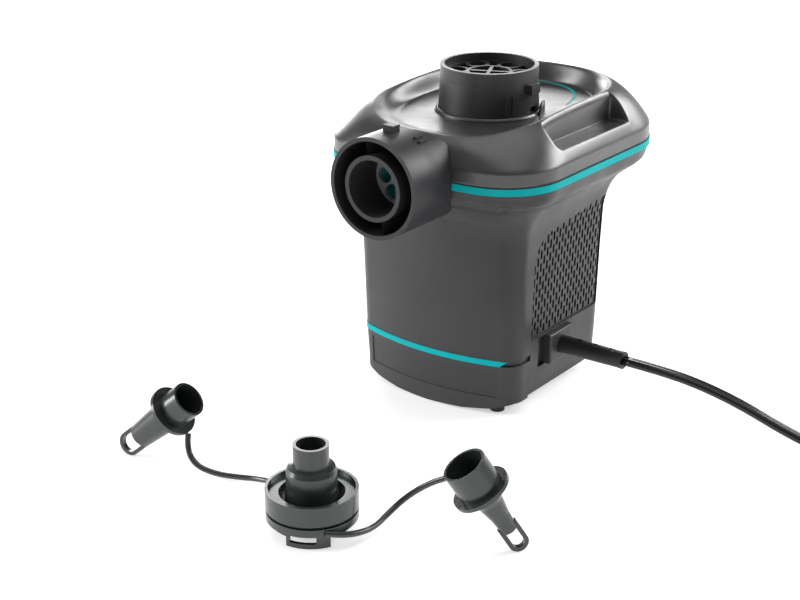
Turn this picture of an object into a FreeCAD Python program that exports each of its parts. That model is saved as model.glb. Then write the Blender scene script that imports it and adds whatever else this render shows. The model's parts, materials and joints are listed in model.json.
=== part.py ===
import FreeCAD, Part
import math
import os

os.makedirs("parts", exist_ok=True)
V = FreeCAD.Vector
UP = V(0, 0, 1)

# ---------------------------------------------------------------- driving dimensions, mm
# The origin is on the floor under the axis of the deflate port.  The inflate port faces -Y,
# the cord leaves the +X side and +Z is up.
PORT_R = 21.0            # outside radius of both ports
FIT = 0.05               # running and seating clearance
WALL = 2.0               # moulded wall
DEFLATE_TOP = 141.3      # height of the deflate port's rim
OUTLET_Z = 106.1         # height of the inflate port's axis
OUTLET_RIM = -82.0       # y of the inflate port's rim
BAND_BOTTOM = 103.2      # trim band between housing and cover
BAND_TOP = 106.2
SHOULDER_Z = 112.5       # top of the cover's upright side
DISH_Z = 121.3           # floor of the dish around the deflate port
FOOT_H = 4.5
STRIP_BOTTOM = 23.1      # base trim strip
STRIP_TOP = 25.6
BASE_SPLIT_Y = -25.5     # the base cap wraps round the front as far back as this
GRILLE_DEPTH = 0.9       # how far the side grilles sit below the housing's surface
GRILLE_FRONT, GRILLE_BACK = -25.6, 31.0
GRILLE_LOW = 32.2
SLOT_WIDTH = 1.5
SLOT_HEIGHT = 4.5
SLOT_PITCH = 2.36        # from one column of slots to the next
SLOT_RISE = 5.8          # from one slot to the next in a column
SLOT_COLUMNS = 24
SLOT_ROWS = 10
SLOT_MARGIN = 0.8        # unslotted border of a grille
SMALLEST_SLOT = 0.3      # part of a slot that has to be left inside the border
SHAFT_R = 2.5
CORD_R = 2.7             # half the width of the twin flex
TETHER_R = 1.2
INLET_Y = -4.0           # cord entry on the +X side
INLET_Z = 24.2
RELIEF_END_X = 74.0
SPLIT_Z = OUTLET_Z       # split plane of the volute

# Rings of the housing from the bottom up:
# z, half width, front y, back y, front corner radius, back corner radius, front bow, back bow
HOUSING_RINGS = [
    (9.2, 40.1, -43.9, 37.2, 9.0, 12.0, 8.0, 0.6),
    (23.1, 40.7, -44.6, 37.5, 9.0, 12.0, 8.0, 0.6),
    (77.0, 42.0, -45.4, 38.2, 10.0, 12.0, 6.0, 0.6),
    (86.5, 44.2, -47.0, 39.6, 12.0, 13.0, 5.5, 0.8),
    (93.0, 47.6, -51.0, 46.0, 17.0, 18.0, 5.0, 1.2),
    (97.7, 52.2, -56.2, 67.5, 24.0, 30.0, 6.0, 2.0),
    (103.2, 54.0, -57.9, 70.8, 27.0, 34.0, 6.0, 2.0),
]
# The same for the outside of the top cover.
COVER_RINGS = [
    (106.2, 54.2, -58.0, 71.0, 27.0, 34.0, 6.0, 2.0),
    (112.5, 54.0, -57.9, 70.8, 27.0, 34.0, 6.0, 2.0),
    (115.5, 52.0, -56.4, 68.8, 26.0, 33.0, 6.0, 2.0),
    (124.5, 44.0, -51.2, 61.8, 25.0, 30.0, 5.0, 2.0),
    (129.0, 40.4, -48.0, 58.4, 25.0, 30.0, 4.0, 2.0),
]
# Height of the cover's crest along y: low in front of the deflate port, high beside and behind it.
CREST_LINE = [(-70.0, 121.6), (-50.0, 122.2), (-30.0, 124.8), (-12.0, 126.4), (5.0, 127.4), (80.0, 127.8)]
DISH_FLOOR = (DISH_Z, 34.5, -47.5, 52.5, 22.0, 26.0, 4.0, 2.0)
DISH_RIM = (129.0, 39.8, -50.8, 58.0, 23.0, 30.0, 4.0, 2.0)


# ---------------------------------------------------------------- helpers
def save(name, *solids):
    """Write one node: a single solid, or several as a compound."""
    shape = solids[0] if len(solids) == 1 else Part.makeCompound(list(solids))
    shape.exportStep("parts/%s.step" % name)


def box(x0, x1, y0, y1, z0, z1):
    return Part.makeBox(x1 - x0, y1 - y0, z1 - z0, V(x0, y0, z0))


def cyl(radius, z0, z1, x=0.0, y=0.0):
    return Part.makeCylinder(radius, z1 - z0, V(x, y, z0), UP)


def ring(outer, inner, z0, z1, x=0.0, y=0.0):
    return cyl(outer, z0, z1, x, y).cut(cyl(inner, z0 - 1, z1 + 1, x, y))


def cyl_y(radius, y0, y1, x=0.0, z=0.0):
    return Part.makeCylinder(radius, y1 - y0, V(x, y0, z), V(0, 1, 0))


def ring_y(outer, inner, y0, y1, x=0.0, z=0.0):
    return cyl_y(outer, y0, y1, x, z).cut(cyl_y(inner, y0 - 1, y1 + 1, x, z))


def cyl_x(radius, x0, x1, y, z):
    return Part.makeCylinder(radius, x1 - x0, V(x0, y, z), V(1, 0, 0))


def prism(points, direction):
    """Extrude a closed polygon of vectors."""
    return Part.Face(Part.makePolygon(points + [points[0]])).extrude(direction)


def turned(profile):
    """Revolve a closed (radius, z) profile about the Z axis."""
    points = [V(r, 0, z) for r, z in profile]
    return Part.Face(Part.makePolygon(points + [points[0]])).revolve(V(0, 0, 0), UP, 360)


def turn(shape, degrees, centre=V(0, 0, 0), axis=UP):
    result = shape.copy()
    result.rotate(centre, axis, degrees)
    return result


def mirror_x(shape):
    return shape.mirror(V(0, 0, 0), V(1, 0, 0))


def fuse(shapes):
    return shapes[0].fuse(shapes[1:]).removeSplitter()


def cut_all(shape, tools):
    return shape.cut(Part.makeCompound(tools))


def corner(half, front, radius, bow, side):
    """Corner arc between a bowed end and a straight side: tangent point on the end,
    middle of the arc, and tangent point on the side.  side is -1 for the front, 1 for the back."""
    end_r = (half * half + bow * bow) / (2 * bow)
    end_cy = front - side * end_r
    cx = half - radius
    cy = end_cy + side * math.sqrt((end_r - radius) ** 2 - cx * cx)
    along = V(cx, cy - end_cy, 0).normalize()
    first = V(cx, cy, 0) + along * radius
    mid_dir = (along + V(1, 0, 0)).normalize()
    middle = V(cx, cy, 0) + mid_dir * radius
    return first, middle, V(half, cy, 0)


def outline(z, half, front, back, r_front, r_back, bow_front, bow_back, grow=0.0):
    """Closed wire of a rounded, bowed rectangle that is symmetric about x = 0."""
    half, front, back = half + grow, front - grow, back + grow
    r_front, r_back = r_front + grow, r_back + grow
    f1, f2, f3 = corner(half, front, r_front, bow_front, -1)
    b1, b2, b3 = corner(half, back, r_back, bow_back, 1)

    def at(p, sign=1):
        return V(sign * p.x, p.y, z)

    edges = [
        Part.Arc(at(f1, -1), V(0, front, z), at(f1)).toShape(),
        Part.Arc(at(f1), at(f2), at(f3)).toShape(),
        Part.LineSegment(at(f3), at(b3)).toShape(),
        Part.Arc(at(b3), at(b2), at(b1)).toShape(),
        Part.Arc(at(b1), V(0, back, z), at(b1, -1)).toShape(),
        Part.Arc(at(b1, -1), at(b2, -1), at(b3, -1)).toShape(),
        Part.LineSegment(at(b3, -1), at(f3, -1)).toShape(),
        Part.Arc(at(f3, -1), at(f2, -1), at(f1, -1)).toShape(),
    ]
    return Part.Wire(edges)


def slope(rings, i, k):
    """Rate of change of value k at ring i; 0 at a peak, and never steeper than the gentler side allows."""
    if i in (0, len(rings) - 1):
        a, b = (rings[0], rings[1]) if i == 0 else (rings[-2], rings[-1])
        return (b[k] - a[k]) / (b[0] - a[0])
    before = (rings[i][k] - rings[i - 1][k]) / (rings[i][0] - rings[i - 1][0])
    after = (rings[i + 1][k] - rings[i][k]) / (rings[i + 1][0] - rings[i][0])
    if before * after <= 0:
        return 0.0
    return 2 * before * after / (before + after)


def ring_at(rings, z):
    """Ring of the table at height z, on a smooth curve through its rows."""
    for i, (low, high) in enumerate(zip(rings, rings[1:])):
        if low[0] <= z <= high[0]:
            h = high[0] - low[0]
            t = (z - low[0]) / h
            values = []
            for k in range(1, len(low)):
                start, end = slope(rings, i, k) * h, slope(rings, i + 1, k) * h
                rise = high[k] - low[k]
                values.append(low[k] + t * (start + t * (3 * rise - 2 * start - end + t * (start + end - 2 * rise))))
            return (z,) + tuple(values)
    raise ValueError(z)


def stack(rings, grow=0.0):
    """Solid through a list of rings."""
    return Part.makeLoft([outline(*ring_values, grow=grow) for ring_values in rings], True, True)


def between(rings, z0, z1, grow=0.0, steps=1):
    """Solid between two heights of a ring table; steps divides each of its rows' distances."""
    heights = [z0]
    for low, high in zip(rings, rings[1:]):
        heights += [low[0] + (high[0] - low[0]) * i / steps for i in range(steps)]
    inside = [z for z in heights if z0 < z < z1]
    return stack([ring_at(rings, z) for z in [z0] + inside + [z1]], grow)


def plate(ring_values, z0, z1, grow=0.0):
    """Flat plate with the outline of one ring."""
    wire = outline(z0, *ring_values[1:], grow=grow)
    return Part.Face(wire).extrude(V(0, 0, z1 - z0))


def tube(points, radius):
    """Straight runs joined by tangent arcs, swept with a circle."""
    pts = [V(*p) for p in points]
    edges = []
    start = pts[0]
    arc_radii = []
    for before, here, after in zip(pts, pts[1:], pts[2:]):
        incoming = (here - before).normalize()
        outgoing = (after - here).normalize()
        turn_angle = incoming.getAngle(outgoing)
        shorter = min((here - before).Length, (after - here).Length)
        reach = 0.45 * shorter
        arc_r = reach / math.tan(turn_angle / 2)
        arc_radii.append(round(arc_r, 1))
        a = here - incoming * reach
        b = here + outgoing * reach
        bisector = (outgoing - incoming).normalize()
        centre = here + bisector * (arc_r / math.cos(turn_angle / 2))
        middle = centre - bisector * arc_r
        edges.append(Part.LineSegment(start, a).toShape())
        edges.append(Part.Arc(a, middle, b).toShape())
        start = b
    edges.append(Part.LineSegment(start, pts[-1]).toShape())
    path = Part.Wire(edges)
    section = Part.Wire(Part.makeCircle(radius, pts[0], pts[1] - pts[0]))
    solid = path.makePipeShell([section], True, False)
    expected = math.pi * radius * radius * path.Length
    print("tube length %.1f  volume ratio %.3f  radii %s" % (path.Length, solid.Volume / expected, arc_radii))
    return solid


def stand(shape, foot, direction, facing):
    """Move a shape built along +Z from the origin so that +Z lies on direction, and +Y faces facing."""
    z_dir = V(*direction).normalize()
    toward = V(*facing)
    y_dir = (toward - z_dir * toward.dot(z_dir)).normalize()
    x_dir = y_dir.cross(z_dir)
    m = FreeCAD.Matrix(x_dir.x, y_dir.x, z_dir.x, foot[0], x_dir.y, y_dir.y, z_dir.y, foot[1],
                       x_dir.z, y_dir.z, z_dir.z, foot[2], 0, 0, 0, 1)
    result = shape.copy()
    result.Placement = FreeCAD.Placement(m).multiply(result.Placement)
    return result


# ---------------------------------------------------------------- housing and covers
BAND_HOLE_R = PORT_R + FIT
DEFLATE_FOOT_R = 21.6    # the deflate port widens a little towards the cover
DEFLATE_HOLE_R = DEFLATE_FOOT_R + FIT
LUG_TOP = 135.4
TUBE_R = 13.0            # the inflate port's tube where it goes through the wall
FRONT_SCREWS = [(34.0, -38.0), (-34.0, -38.0)]
REAR_SCREWS = [(33.0, 50.0), (-33.0, 50.0)]
SCREW_PLACES = FRONT_SCREWS + REAR_SCREWS
DIMPLE_PLACE = V(41.0, -49.5, 96.6)
DIMPLE_OUT = V(0.44, -0.66, -0.61)
DIMPLE_R = 4.2           # round dimple under the flare at each front corner
DIMPLE_DEPTH = 1.5


def grille_face(x, grow=0.0):
    """Outline of a side grille in the plane at x: upright front edge, round top front corner,
    and a top edge that climbs towards the back."""
    front, back, low = GRILLE_FRONT - grow, GRILLE_BACK + grow, GRILLE_LOW - grow
    bend = V(x, front, 66.0)
    top_front = V(x, -11.5, 78.6 + grow)
    top_back = V(x, back, 84.4 + grow)
    edges = [
        Part.LineSegment(V(x, front, low), bend).toShape(),
        Part.Arc(bend, V(x, -22.2 - 0.8 * grow, 74.2 + 0.6 * grow), top_front).toShape(),
        Part.LineSegment(top_front, top_back).toShape(),
        Part.LineSegment(top_back, V(x, back, low)).toShape(),
        Part.LineSegment(V(x, back, low), V(x, front, low)).toShape(),
    ]
    return Part.Face(Part.Wire(edges))


def grille_window(grow):
    return grille_face(30.0, grow).extrude(V(20, 0, 0))


def cord_slot():
    """Opening in the +X wall where the cord entry plate sits."""
    return box(34, 46, INLET_Y - 15.0, INLET_Y + 8.8, 17.4, 31.2)


def housing_envelope(grow=0.0):
    """The housing's outside as one solid, or the same surface moved out or in."""
    return between(HOUSING_RINGS, 9.2, BAND_BOTTOM, grow=grow, steps=3)


def make_housing():
    outside = housing_envelope()
    inside = housing_envelope(-WALL)
    posts = [cyl(4.8, 90.0, BAND_BOTTOM, x, y) for x, y in REAR_SCREWS]
    posts += [cyl(4.8, 99.1, BAND_BOTTOM, x, y) for x, y in FRONT_SCREWS]
    for (x, y), heading in zip(FRONT_SCREWS, (-47.0, 227.0)):
        arm = turn(box(0, 22, -4.0, 4.0, 99.1, BAND_BOTTOM), heading)
        posts.append(arm.translated(V(x, y, 0)))
    backing = Part.makeSphere(DIMPLE_R, DIMPLE_PLACE)
    posts += [backing, mirror_x(backing)]
    shell = outside.cut(inside)
    shell = shell.fuse([p.common(outside) for p in posts])
    recesses = [cyl(3.2, 87, 99.1, x, y) for x, y in REAR_SCREWS]
    dimple = Part.makeSphere(DIMPLE_R, DIMPLE_PLACE + DIMPLE_OUT * (DIMPLE_R - DIMPLE_DEPTH))
    recesses += [dimple, mirror_x(dimple)]
    holes = [cyl(1.7, 90, 110, x, y) for x, y in SCREW_PLACES]
    window = grille_window(FIT)
    front_corner = box(-60, 60, -70, BASE_SPLIT_Y, 0, STRIP_BOTTOM)
    strip_groove = strip_band(0.0).cut(box(-60, 60, BASE_SPLIT_Y, 90, 0, 60))
    switch_hole = box(-10.55, 10.55, 30, 45, 54.45, 67.55)
    tools = recesses + holes + [window, mirror_x(window), front_corner, strip_groove, switch_hole,
                                cord_slot(), cyl_y(TUBE_R + FIT, -90, -30, 0, OUTLET_Z)]
    return cut_all(shell, tools)


def strip_band(clear):
    """Ring in which the base trim strip lies; the strip itself is slightly smaller."""
    ring_mid = ring_at(HOUSING_RINGS, 24.0)
    outer = plate(ring_mid, STRIP_BOTTOM, STRIP_TOP - clear, grow=0.5)
    inner = plate(ring_mid, STRIP_BOTTOM - 1, STRIP_TOP + 1, grow=-1.0 + clear)
    return outer.cut(inner)


def make_base_strip():
    """Coloured strip along the front only, ending in a slanted tip at the +X corner."""
    ring_mid = ring_at(HOUSING_RINGS, 24.0)
    band = strip_band(FIT).common(plate(ring_mid, 20, 30, grow=0.25))
    band = band.cut(box(-60, 60, -30.0, 90, 0, 60))
    tip = prism([V(33.0, -60, STRIP_BOTTOM - 1), V(60, -60, STRIP_BOTTOM - 1), V(60, -60, STRIP_TOP + 1),
                 V(38.5, -60, STRIP_TOP + 1)], V(0, 60, 0))
    return band.cut(tip)


LABEL_DEPTH = 0.25       # plain panel sunk into the front of the base cap


def make_base_cap():
    """Front cap of the base: wraps round both corners, its lower edge sags in the middle."""
    ring_low = ring_at(HOUSING_RINGS, 9.2)
    top = STRIP_BOTTOM - FIT
    outer = stack([(0.0,) + ring_low[1:], ring_at(HOUSING_RINGS, 9.2), ring_at(HOUSING_RINGS, 23.1)])
    inner = stack([(0.0,) + ring_low[1:], ring_at(HOUSING_RINGS, 9.2), ring_at(HOUSING_RINGS, 23.1)], grow=-WALL)
    cap = outer.cut(inner)
    cap = cap.common(box(-60, 60, -70, BASE_SPLIT_Y - 0.1, 0, top))
    sag = [V(-60, -70, -1), V(60, -70, -1), V(60, -70, 5.6), V(39.0, -70, 5.4), V(30.0, -70, 2.6),
           V(17.0, -70, 1.0), V(0, -70, 0.5), V(-17.0, -70, 1.0), V(-30.0, -70, 2.6), V(-39.0, -70, 5.4),
           V(-60, -70, 5.6)]
    cap = cap.cut(prism(sag, V(0, 60, 0)))
    label = box(-33.5, 32.5, -70, -30, 8.2, STRIP_BOTTOM - 2.4)
    frame = outer.cut(stack([(0.0,) + ring_low[1:], ring_at(HOUSING_RINGS, 9.2),
                             ring_at(HOUSING_RINGS, 23.1)], grow=-LABEL_DEPTH))
    return cap.cut(frame.common(label))


def make_base_plate():
    """Bottom closure, inside the foot of the housing and of the base cap, with a cradle for the motor."""
    low = ring_at(HOUSING_RINGS, 9.2)
    floor = plate(low, FOOT_H, FOOT_H + 2.5, grow=-WALL - 0.3)
    rim = plate(low, FOOT_H + 2.5, 16.0, grow=-WALL - 0.3).cut(plate(low, FOOT_H + 2.0, 17.0, grow=-WALL - 1.9))
    ribs = [box(-30, -24, -7, 7, FOOT_H + 2.0, 14.0), box(24, 30, -7, 7, FOOT_H + 2.0, 14.0)]
    body = fuse([floor, rim] + ribs)
    vents = [box(-14 + 7 * i, -11 + 7 * i, 12, 28, 0, 10) for i in range(5)]
    sockets = [cyl(1.6, 0, 12, x, y) for x, y in FOOT_PLACES]
    return cut_all(body, vents + sockets + [cyl(1.6, 0, 12), box(34, 46, INLET_Y - 15, INLET_Y + 9, 12, 32)])


FOOT_PLACES = [(29.5, -33.0), (-29.5, -33.0), (29.5, 28.0), (-29.5, 28.0)]


def foot(x, y, radius=3.2):
    head = cyl(radius, 0, FOOT_H, x, y)
    stem = cyl(1.6, FOOT_H, FOOT_H + 2.5, x, y)
    return head.fuse(stem).removeSplitter()


def cover_envelope():
    """Outside of the top cover as one solid, with its dish and finger pockets."""
    outside = between(COVER_RINGS, BAND_TOP, 129.0, steps=2)
    crest = [V(-80, y, z) for y, z in CREST_LINE] + [V(-80, 80, 140), V(-80, -70, 140)]
    outside = outside.cut(prism(crest, V(160, 0, 0)))
    outside = outside.cut(stack([DISH_FLOOR, DISH_RIM]))
    pocket = finger_pocket(0.0)
    return cut_all(outside, [pocket, mirror_x(pocket)])


def make_cover():
    """Top cover: a thin shell with a dish round the deflate port and a finger pocket on each side."""
    outside = cover_envelope()
    hollow = between(COVER_RINGS, BAND_TOP, DISH_Z - WALL, grow=-WALL)
    ridge = stack([(DISH_Z - WALL - 0.1, 46.0, -48.5, 62.5, 20, 28, 4.5, 2.0),
                   (124.0, 42.4, -47.0, 60.0, 20, 28, 4.5, 2.0)])
    ridge = ridge.cut(stack([(DISH_Z - WALL - 0.2, 36.6, -48.9, 54.5, 22, 26, 4.0, 2.0),
                             (124.1, 39.0, -48.9, 57.0, 22, 28, 4.0, 2.0)]))
    ridge = ridge.common(box(-60, 60, -22, 80, 100, 130))
    pocket_wall = finger_pocket(1.8)
    hollow = cut_all(hollow.fuse(ridge), [pocket_wall, mirror_x(pocket_wall)])
    bosses = [cyl(3.4, 104.0, 126.0, x, y).common(outside) for x, y in SCREW_PLACES]
    lip = turned([(DEFLATE_HOLE_R, DISH_Z - 0.5), (23.0, DISH_Z - 0.5), (22.8, DISH_Z + 0.5),
                  (22.1, DISH_Z + 1.4), (DEFLATE_HOLE_R, DISH_Z + 1.4)])
    hoop = ring(24.2, 22.4, DISH_Z - 0.5, DISH_Z + 5.4).common(turn(box(18, 26, -3, 3, 110, 130), 18))
    shell = fuse([outside.cut(hollow)] + bosses + [lip])
    shell = shell.fuse(hoop).removeSplitter()
    tools = [cyl(DEFLATE_HOLE_R, 100, 140), cyl_y(TUBE_R + FIT, -90, -30, 0, OUTLET_Z)]
    tools += [cyl(1.3, 100, 116, x, y) for x, y in SCREW_PLACES]
    return cut_all(shell, tools)


def finger_pocket(wall):
    """Cutting solid of the pocket on +X; wall makes it larger all round."""
    section = [V(41.6 - wall, 0, 117.2 - wall), V(70, 0, 117.2 - wall), V(70, 0, 140), V(38.8 - wall, 0, 140)]
    body = prism(section, V(0, 54.0 + 2 * wall, 0))
    body.translate(V(0, -23.5 - wall, 0))
    return body


def make_trim_band():
    wide = ring_at(COVER_RINGS, BAND_TOP)
    band = plate(wide, BAND_BOTTOM + FIT, BAND_TOP - FIT, grow=0.15)
    band = band.cut(plate(wide, BAND_BOTTOM - 1, BAND_TOP + 1, grow=-WALL))
    return band.cut(cyl_y(BAND_HOLE_R, -90, -30, 0, OUTLET_Z))


def grille_slots():
    """Upright slots with pointed ends, in close columns that are staggered by half a rise."""
    field = grille_face(30.0, -SLOT_MARGIN).extrude(V(20, 0, 0))
    half = SLOT_WIDTH / 2
    slots = []
    for column in range(SLOT_COLUMNS):
        y = GRILLE_FRONT + SLOT_MARGIN + half + SLOT_PITCH * column
        first = GRILLE_LOW - SLOT_RISE / 2 * (column % 2)
        for row in range(SLOT_ROWS):
            z0 = first + SLOT_RISE * row
            z1 = z0 + SLOT_HEIGHT
            corners = [(0, z0), (half, z0 + half), (half, z1 - half), (0, z1), (-half, z1 - half), (-half, z0 + half)]
            slot = prism([V(30, y + across, z) for across, z in corners], V(20, 0, 0))
            inside = slot.common(field)
            if inside.Volume > SMALLEST_SLOT * slot.Volume:
                slots += inside.Solids
    return slots


def make_side_grille():
    """Snap-in grille on +X: follows the housing's surface, with a flange behind the wall."""
    face = housing_envelope(-GRILLE_DEPTH).common(grille_window(0.0))
    flange = housing_envelope(-WALL - FIT).common(grille_window(1.1))
    panel = face.fuse(flange).cut(housing_envelope(-3.2)).removeSplitter()
    return cut_all(panel, grille_slots())


def screw(x, y, head_z, length, head_r=3.1, shank_r=1.3):
    """Pan head below, shank up."""
    head = cyl(head_r, head_z, head_z + 2.0, x, y)
    shank = cyl(shank_r, head_z + 2.0, head_z + 2.0 + length, x, y)
    cross = box(x - 1.8, x + 1.8, y - 0.35, y + 0.35, head_z - 1, head_z + 1.0)
    cross = cross.fuse(turn(cross, 90, V(x, y, 0)))
    return head.fuse(shank).cut(cross)


# ---------------------------------------------------------------- air ports
def make_deflate_port():
    under = DISH_Z - WALL - 2.0
    tube_wall = turned([(19.2, under), (DEFLATE_FOOT_R, under), (DEFLATE_FOOT_R, DISH_Z + 1.6), (PORT_R, LUG_TOP),
                        (PORT_R, DEFLATE_TOP), (19.2, DEFLATE_TOP)])
    flange = ring(24.5, 18.0, under, DISH_Z - WALL)
    seat = ring(19.6, 17.9, DEFLATE_TOP - 7.0, DEFLATE_TOP - 5.6)
    lug = box(19.5, 23.6, -3.2, 3.2, 131.4, LUG_TOP)
    clip_ribs = [turn(box(20.0, 21.8, -0.5, 0.5, DISH_Z + 2.0, 131.5), a) for a in (-37, -28)]
    body = fuse([tube_wall, flange, seat, lug] + clip_ribs)
    notch = turn(box(18, 23, -2.2, 2.2, DISH_Z + 1.7, DISH_Z + 4.0), 4)
    return body.cut(notch)


GUARD_BAR = 1.4          # width of the guard's bars
GUARD_RIM = 19.15


def make_deflate_guard():
    """Finger guard in the deflate port: hub ring, crossing bars and a flower of scallops."""
    z0, z1 = DEFLATE_TOP - 5.6, DEFLATE_TOP - 3.4
    half = GUARD_BAR / 2
    pieces = [ring(GUARD_RIM, GUARD_RIM - GUARD_BAR, z0, z1), ring(10.0, 10.0 - GUARD_BAR, z0, z1)]
    pieces += [turn(box(-9.4, 9.4, -half, half, z0, z1), 25 + 90 * i) for i in range(2)]
    for i in range(6):
        angle = math.radians(25 + 60 * i)
        pieces.append(ring(5.4, 5.4 - GUARD_BAR, z0, z1, 14.0 * math.cos(angle), 14.0 * math.sin(angle)))
    return fuse(pieces).common(cyl(GUARD_RIM, z0 - 1, z1 + 1))


def gap_ramp(degrees, climbs_up):
    """Bayonet ramp in the gap of the inflate port: a web that falls from just behind the rim to the gap's
    floor.  degrees turns its high edge clockwise from +X; the ramp lies above or below that edge."""
    high, floor = OUTLET_RIM + 2.0, -59.9
    reach = 9.4 if climbs_up else -6.5
    web = prism([V(0, high, OUTLET_Z), V(0, floor, OUTLET_Z + reach), V(0, floor, OUTLET_Z)], V(30, 0, 0))
    web = web.common(ring_y(19.3, 13.5, -90.0, floor, 0, OUTLET_Z))
    return turn(web, degrees, V(0, 0, OUTLET_Z), V(0, 1, 0))


GUARD_Y = -64.0          # step in the inner tube that the guard rests against
GUARD_R = 12.15


def make_inflate_port():
    """Collar seated on the outside of the wall, with a deep ring gap, two ramps and a tube through the wall."""
    collar = cyl_y(PORT_R, OUTLET_RIM, -44.0, 0, OUTLET_Z)
    top_slope = [V(-40, -65.0, 127.2), V(-40, -60.0, 126.4), V(-40, -56.0, 123.8), V(-40, -53.0, 121.0),
                 V(-40, -53.0, SHOULDER_Z), V(-40, -40.0, SHOULDER_Z), V(-40, -40.0, 140.0), V(-40, -65.0, 140.0)]
    collar = cut_all(collar, [prism(top_slope, V(80, 0, 0)), housing_envelope(), cover_envelope(),
                              plate(ring_at(COVER_RINGS, BAND_TOP), BAND_BOTTOM, BAND_TOP, grow=0.2)])
    gap = ring_y(19.25, 13.6, -90.0, -60.0, 0, OUTLET_Z)
    tube_wall = cyl_y(TUBE_R, -62.0, -42.0, 0, OUTLET_Z)
    lug = box(-2.6, 2.6, -71.5, -67.2, OUTLET_Z + 20.0, OUTLET_Z + 23.6)
    mark = box(-0.6, 0.6, -67.0, -62.5, OUTLET_Z + 20.0, OUTLET_Z + 21.8)
    marks = [turn(mark, a, V(0, 0, OUTLET_Z), V(0, 1, 0)) for a in (27, 34)]
    body = fuse([collar.cut(gap), tube_wall, lug] + marks)
    body = body.fuse([gap_ramp(-105, False), gap_ramp(78, True)]).removeSplitter()
    bore = cyl_y(11.7, -90.0, GUARD_Y, 0, OUTLET_Z)
    socket = cyl_y(GUARD_R + FIT, GUARD_Y, -30.0, 0, OUTLET_Z)
    return cut_all(body, [bore, socket])


def make_outlet_guard():
    """Pale guard deep in the inner tube: a disc with a ring of round holes and a star between them."""
    y0, y1 = GUARD_Y, GUARD_Y + 1.8
    disc = cyl_y(GUARD_R, y0, y1, 0, OUTLET_Z)
    holes = []
    for i in range(6):
        angle = math.radians(60 * i)
        holes.append(cyl_y(3.3, y0 - 1, y1 + 1, 7.4 * math.cos(angle), OUTLET_Z + 7.4 * math.sin(angle)))
    return cut_all(disc, holes + [cyl_y(2.2, y0 - 1, y1 + 1, 0, OUTLET_Z)])


# ---------------------------------------------------------------- blower
VOLUTE_FLOOR = 92.6
VOLUTE_ROOF = 117.2


def spiral(start_r, z0, z1):
    """Spiral of four quarter arcs whose centres walk round a small square; it opens towards -Y."""
    s = 2.4
    c = [V(s / 2, s / 2, z0), V(-s / 2, s / 2, z0), V(-s / 2, -s / 2, z0), V(s / 2, -s / 2, z0)]
    edges = []
    for i in range(4):
        r = start_r + s * i
        a0 = -90.0 + 90.0 * i
        p = [c[i] + V(r * math.cos(math.radians(a)), r * math.sin(math.radians(a)), 0) for a in (a0, a0 + 45, a0 + 90)]
        edges.append(Part.Arc(*p).toShape())
    edges.append(Part.LineSegment(edges[3].Vertexes[-1].Point, edges[0].Vertexes[0].Point).toShape())
    return Part.Face(Part.Wire(edges)).extrude(V(0, 0, z1 - z0))


def volute_solid():
    body = spiral(32.2, VOLUTE_FLOOR, VOLUTE_ROOF)
    neck = cyl_y(15.6, -42.0, -30.0, 0, OUTLET_Z).common(box(-20, 20, -45, -20, VOLUTE_FLOOR, VOLUTE_ROOF))
    body = body.fuse(neck)
    chamber = spiral(30.4, VOLUTE_FLOOR + 1.8, VOLUTE_ROOF - 1.8)
    return body.cut(chamber).cut(cyl_y(11.7, -45, -28, 0, OUTLET_Z))


def make_volute_lower():
    body = volute_solid().common(box(-60, 60, -60, 60, VOLUTE_FLOOR, SPLIT_Z))
    tools = [cyl(SHAFT_R + 0.8, 90, 96)] + [cyl(1.6, 90, 96, x, 0) for x in (-27, 27)]
    return cut_all(body, tools)


def make_volute_upper():
    body = volute_solid().common(box(-60, 60, -60, 60, SPLIT_Z, VOLUTE_ROOF))
    return body.cut(cyl(17.0, 110, 120))


def make_impeller():
    """Centrifugal impeller: back disc, curved blades, front ring and hub."""
    z0 = 96.4
    disc = ring(27.5, SHAFT_R, z0, z0 + 1.6)
    hub = turned([(SHAFT_R, z0), (7.0, z0), (6.4, z0 + 5.0), (5.0, z0 + 9.0), (SHAFT_R, z0 + 9.0)])
    shroud = ring(27.5, 17.0, z0 + 15.2, z0 + 16.6)
    blades = []
    for i in range(9):
        arc_wall = ring(16.2, 15.0, z0 + 1.0, z0 + 15.8, 0, 15.2)
        blade = arc_wall.common(cyl(27.2, 90, 120)).cut(cyl(9.0, 90, 120)).common(box(0, 40, -10, 40, 90, 120))
        blades.append(turn(blade, 40.0 * i))
    return fuse([disc, hub, shroud] + blades)


def make_impeller_nut():
    z0 = 105.4
    points = [V(4.0 * math.cos(math.radians(60 * i)), 4.0 * math.sin(math.radians(60 * i)), z0) for i in range(6)]
    return prism(points, V(0, 0, 3.0)).cut(cyl(SHAFT_R, 100, 112))


# ---------------------------------------------------------------- motor
STACK_LOW, STACK_HIGH = 46.0, 69.0


def make_shaft():
    return cyl(SHAFT_R, 13.0, 110.0)


def make_armature():
    core = ring(13.9, SHAFT_R, STACK_LOW, STACK_HIGH)
    slots = [turn(box(10.5, 15, -0.8, 0.8, 40, 75), 30 * i) for i in range(12)]
    return cut_all(core, slots)


def make_armature_winding():
    def end_turn(z0, z1):
        mid = (z0 + z1) / 2
        return turned([(4.5, z0), (10.5, z0), (12.4, mid), (10.5, z1), (4.5, z1)])
    return [end_turn(38.5, STACK_LOW), end_turn(STACK_HIGH, 76.5)]


def make_commutator():
    body = ring(7.5, SHAFT_R, 26.0, 36.5)
    slots = [turn(box(6.6, 8, -0.2, 0.2, 27.0, 40), 15 * i) for i in range(24)]
    return cut_all(body, slots)


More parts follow.
